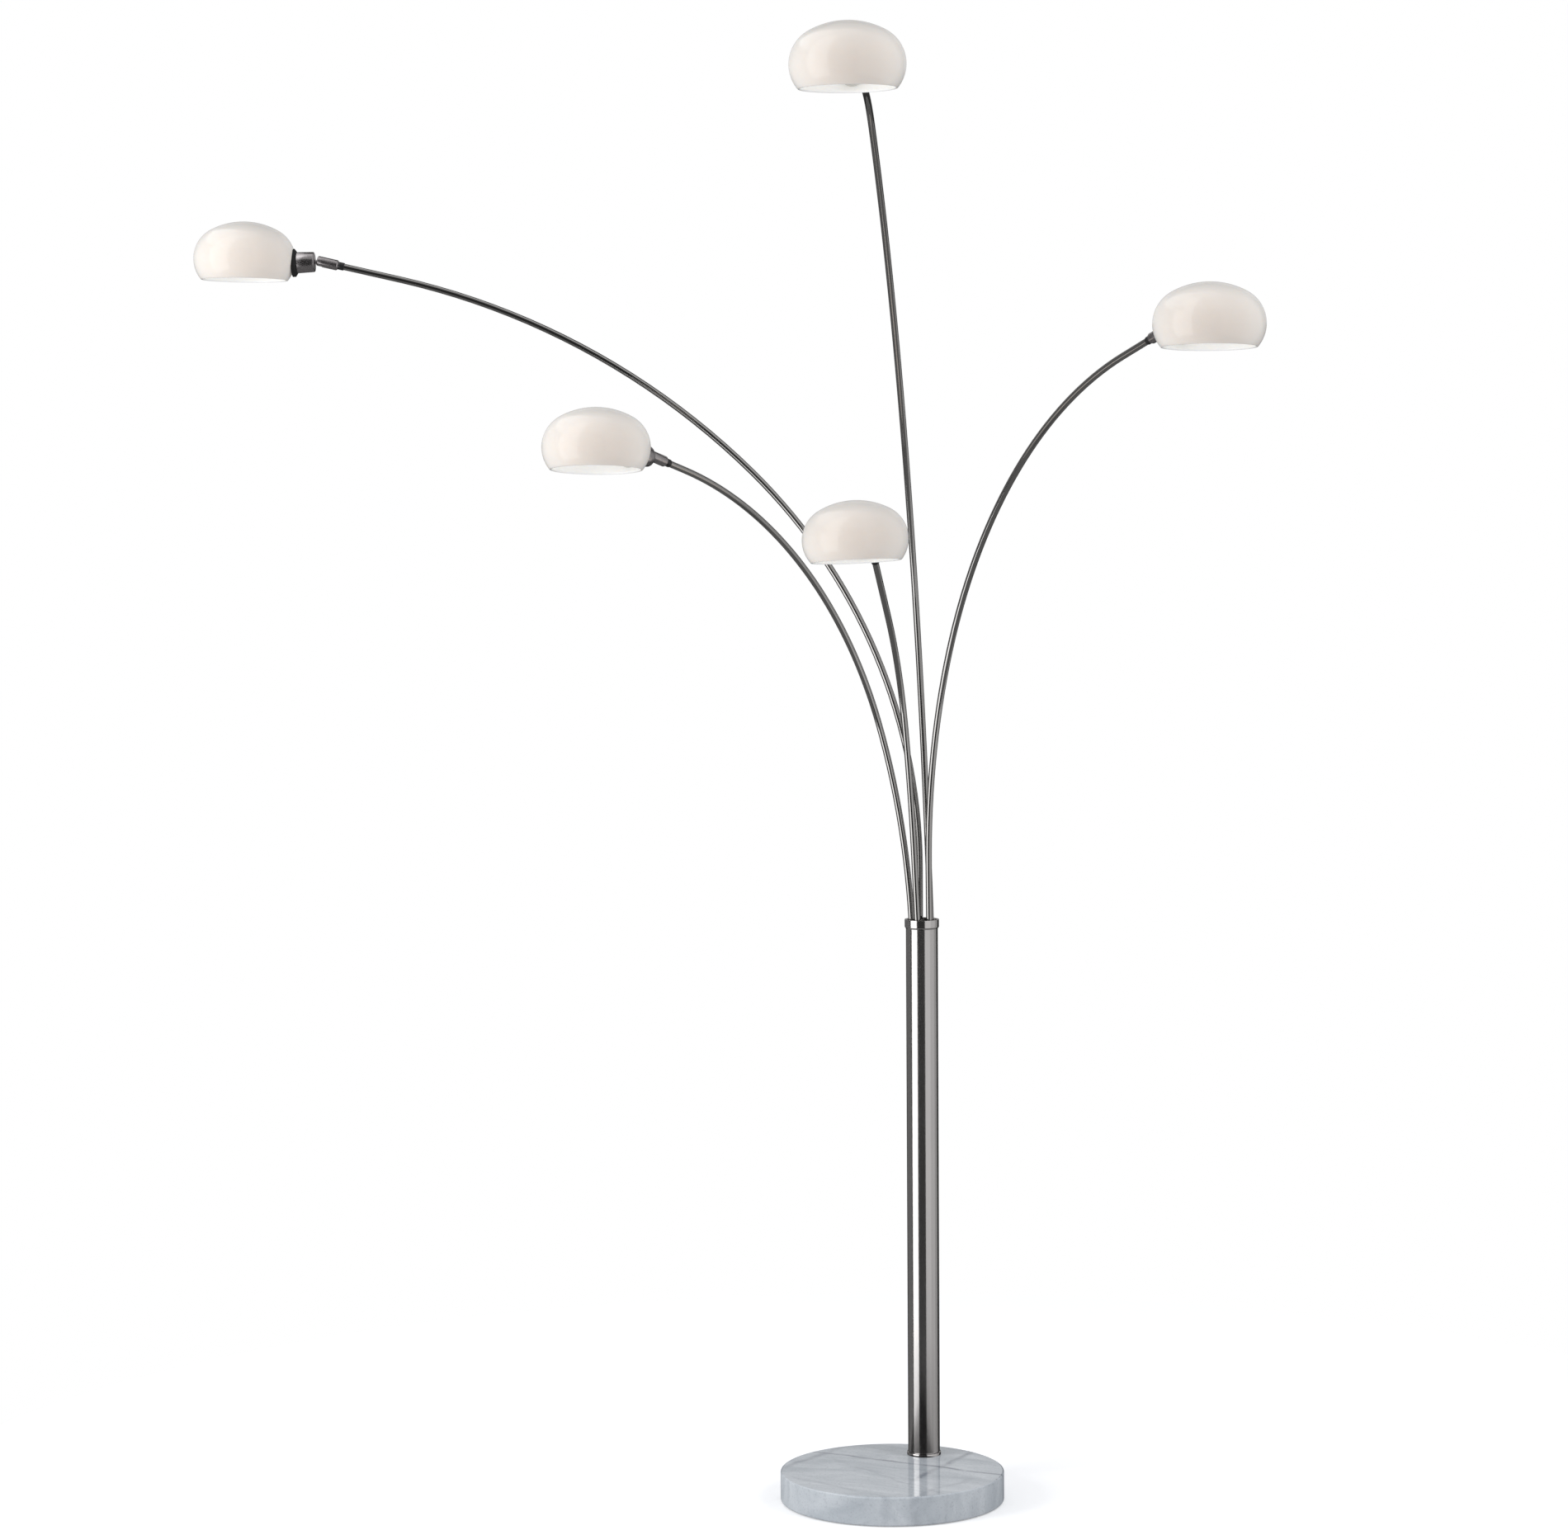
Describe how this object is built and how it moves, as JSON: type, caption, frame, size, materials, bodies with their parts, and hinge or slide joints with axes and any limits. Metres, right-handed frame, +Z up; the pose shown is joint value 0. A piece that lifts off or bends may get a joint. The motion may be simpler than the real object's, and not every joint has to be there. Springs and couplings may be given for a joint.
{
  "type": "floor lamp",
  "caption": "Tree floor lamp: round marble base, steel pole and bent steel tubes fanning out of its cap, each with an opal glass dome shade on a friction swivel.",
  "frame": {"origin": "centre of the base footprint on the floor", "axes": "+Z up along the pole; -Y is the front, where the middle arms reach; +X is to the right seen from the front"},
  "size_m": [1.6794, 0.9235, 2.0935],
  "materials": {
    "marble": "polished grey-white marble with darker veins",
    "pole_steel": "polished, fine lengthwise grain",
    "tube_steel": "polished, fine lengthwise grain",
    "swivel_steel": "satin turned steel",
    "dark_plate": "satin black",
    "zinc_steel": "zinc plated",
    "black_ferrule": "satin black",
    "nylon": "natural nylon",
    "gasket_rubber": "matt black",
    "felt": "dark grey wool felt",
    "opal_glass": "glossy opal white, not see-through",
    "white_plastic": "white, threaded",
    "holder_plastic": "white thermoset",
    "bulb_glass": "frosted white"
  },
  "bodies": {
    "post": {"marble_base": "marble", "base_felt": "felt", "base_bolt": "zinc_steel", "base_washer": "zinc_steel", "foot_ring": "pole_steel", "pole_plug": "zinc_steel", "pole": "pole_steel", "cap_ring": "pole_steel", "arm_plate": "dark_plate", "root_nuts": "zinc_steel"},
    "left_high_arm": {"left_high_tube": "tube_steel", "left_high_ferrule": "black_ferrule"},
    "left_high_swivel": {"left_high_barrel": "swivel_steel", "left_high_ball_seat": "nylon"},
    "left_high_head": {"left_high_cup": "swivel_steel", "left_high_gasket": "gasket_rubber", "left_high_shade": "opal_glass", "left_high_clamp_ring": "white_plastic", "left_high_holder": "holder_plastic", "left_high_bulb": "bulb_glass"},
    "left_low_arm": {"left_low_tube": "tube_steel", "left_low_ferrule": "black_ferrule"},
    "left_low_swivel": {"left_low_barrel": "swivel_steel", "left_low_ball_seat": "nylon"},
    "left_low_head": {"left_low_cup": "swivel_steel", "left_low_gasket": "gasket_rubber", "left_low_shade": "opal_glass", "left_low_clamp_ring": "white_plastic", "left_low_holder": "holder_plastic", "left_low_bulb": "bulb_glass"},
    "middle_low_arm": {"middle_low_tube": "tube_steel", "middle_low_ferrule": "black_ferrule"},
    "middle_low_swivel": {"middle_low_barrel": "swivel_steel", "middle_low_ball_seat": "nylon"},
    "middle_low_head": {"middle_low_cup": "swivel_steel", "middle_low_gasket": "gasket_rubber", "middle_low_shade": "opal_glass", "middle_low_clamp_ring": "white_plastic", "middle_low_holder": "holder_plastic", "middle_low_bulb": "bulb_glass"},
    "middle_high_arm": {"middle_high_tube": "tube_steel", "middle_high_ferrule": "black_ferrule"},
    "middle_high_swivel": {"middle_high_barrel": "swivel_steel", "middle_high_ball_seat": "nylon"},
    "middle_high_head": {"middle_high_cup": "swivel_steel", "middle_high_gasket": "gasket_rubber", "middle_high_shade": "opal_glass", "middle_high_clamp_ring": "white_plastic", "middle_high_holder": "holder_plastic", "middle_high_bulb": "bulb_glass"},
    "right_high_arm": {"right_high_tube": "tube_steel", "right_high_ferrule": "black_ferrule"},
    "right_high_swivel": {"right_high_barrel": "swivel_steel", "right_high_ball_seat": "nylon"},
    "right_high_head": {"right_high_cup": "swivel_steel", "right_high_gasket": "gasket_rubber", "right_high_shade": "opal_glass", "right_high_clamp_ring": "white_plastic", "right_high_holder": "holder_plastic", "right_high_bulb": "bulb_glass"}
  },
  "joints": [
    {"name": "left_high_turn", "type": "hinge", "parent": "post", "child": "left_high_arm", "pos_m": [-0.00893, 0.1228, 0.846], "axis": [0, 0, 1], "range_deg": [-10, 10]},
    {"name": "left_high_twist", "type": "hinge", "parent": "left_high_arm", "child": "left_high_swivel", "pos_m": [-0.80635, -0.24904, 1.82751], "axis": [-0.8827, -0.4116, 0.2267], "range_deg": [-45, 45]},
    {"name": "left_high_nod", "type": "hinge", "parent": "left_high_swivel", "child": "left_high_head", "pos_m": [-0.80635, -0.24904, 1.82751], "axis": [0.4279, -0.9035, 0.0255], "range_deg": [-27.2, 62.8]},
    {"name": "left_low_turn", "type": "hinge", "parent": "post", "child": "left_low_arm", "pos_m": [-0.01446, 0.1058, 0.846], "axis": [0, 0, 1], "range_deg": [-10, 10]},
    {"name": "left_low_twist", "type": "hinge", "parent": "left_low_arm", "child": "left_low_swivel", "pos_m": [-0.18368, -0.37252, 1.54017], "axis": [-0.2511, -0.9224, 0.2933], "range_deg": [-45, 45]},
    {"name": "left_low_nod", "type": "hinge", "parent": "left_low_swivel", "child": "left_low_head", "pos_m": [-0.18368, -0.37252, 1.54017], "axis": [0.9679, -0.2413, 0.0698], "range_deg": [-26.8, 63.2]},
    {"name": "middle_low_turn", "type": "hinge", "parent": "post", "child": "middle_low_arm", "pos_m": [0, 0.0953, 0.846], "axis": [0, 0, 1], "range_deg": [-10, 10]},
    {"name": "middle_low_twist", "type": "hinge", "parent": "middle_low_arm", "child": "middle_low_swivel", "pos_m": [0.02507, -0.10711, 1.41122], "axis": [0.1282, -0.6496, 0.7494], "range_deg": [-45, 45]},
    {"name": "middle_low_nod", "type": "hinge", "parent": "middle_low_swivel", "child": "middle_low_head", "pos_m": [0.02507, -0.10711, 1.41122], "axis": [0.9656, 0.2542, 0.0551], "range_deg": [-59.7, 30.3]},
    {"name": "middle_high_turn", "type": "hinge", "parent": "post", "child": "middle_high_arm", "pos_m": [0.00893, 0.1228, 0.846], "axis": [0, 0, 1], "range_deg": [-10, 10]},
    {"name": "middle_high_twist", "type": "hinge", "parent": "middle_high_arm", "child": "middle_high_swivel", "pos_m": [0.23335, -0.57753, 2.0342], "axis": [0.357, -0.9334, 0.0349], "range_deg": [-45, 45]},
    {"name": "middle_high_nod", "type": "hinge", "parent": "middle_high_swivel", "child": "middle_high_head", "pos_m": [0.23335, -0.57753, 2.0342], "axis": [0.9339, 0.3575, 0.0087], "range_deg": [-16.3, 73.7]},
    {"name": "right_high_turn", "type": "hinge", "parent": "post", "child": "right_high_arm", "pos_m": [0.01446, 0.1058, 0.846], "axis": [0, 0, 1], "range_deg": [-10, 10]},
    {"name": "right_high_twist", "type": "hinge", "parent": "right_high_arm", "child": "right_high_swivel", "pos_m": [0.52737, -0.24917, 1.70269], "axis": [0.7883, -0.5349, 0.304], "range_deg": [-45, 45]},
    {"name": "right_high_nod", "type": "hinge", "parent": "right_high_swivel", "child": "right_high_head", "pos_m": [0.52737, -0.24917, 1.70269], "axis": [0.5698, 0.8211, -0.0328], "range_deg": [-29.7, 60.3]}
  ]
}
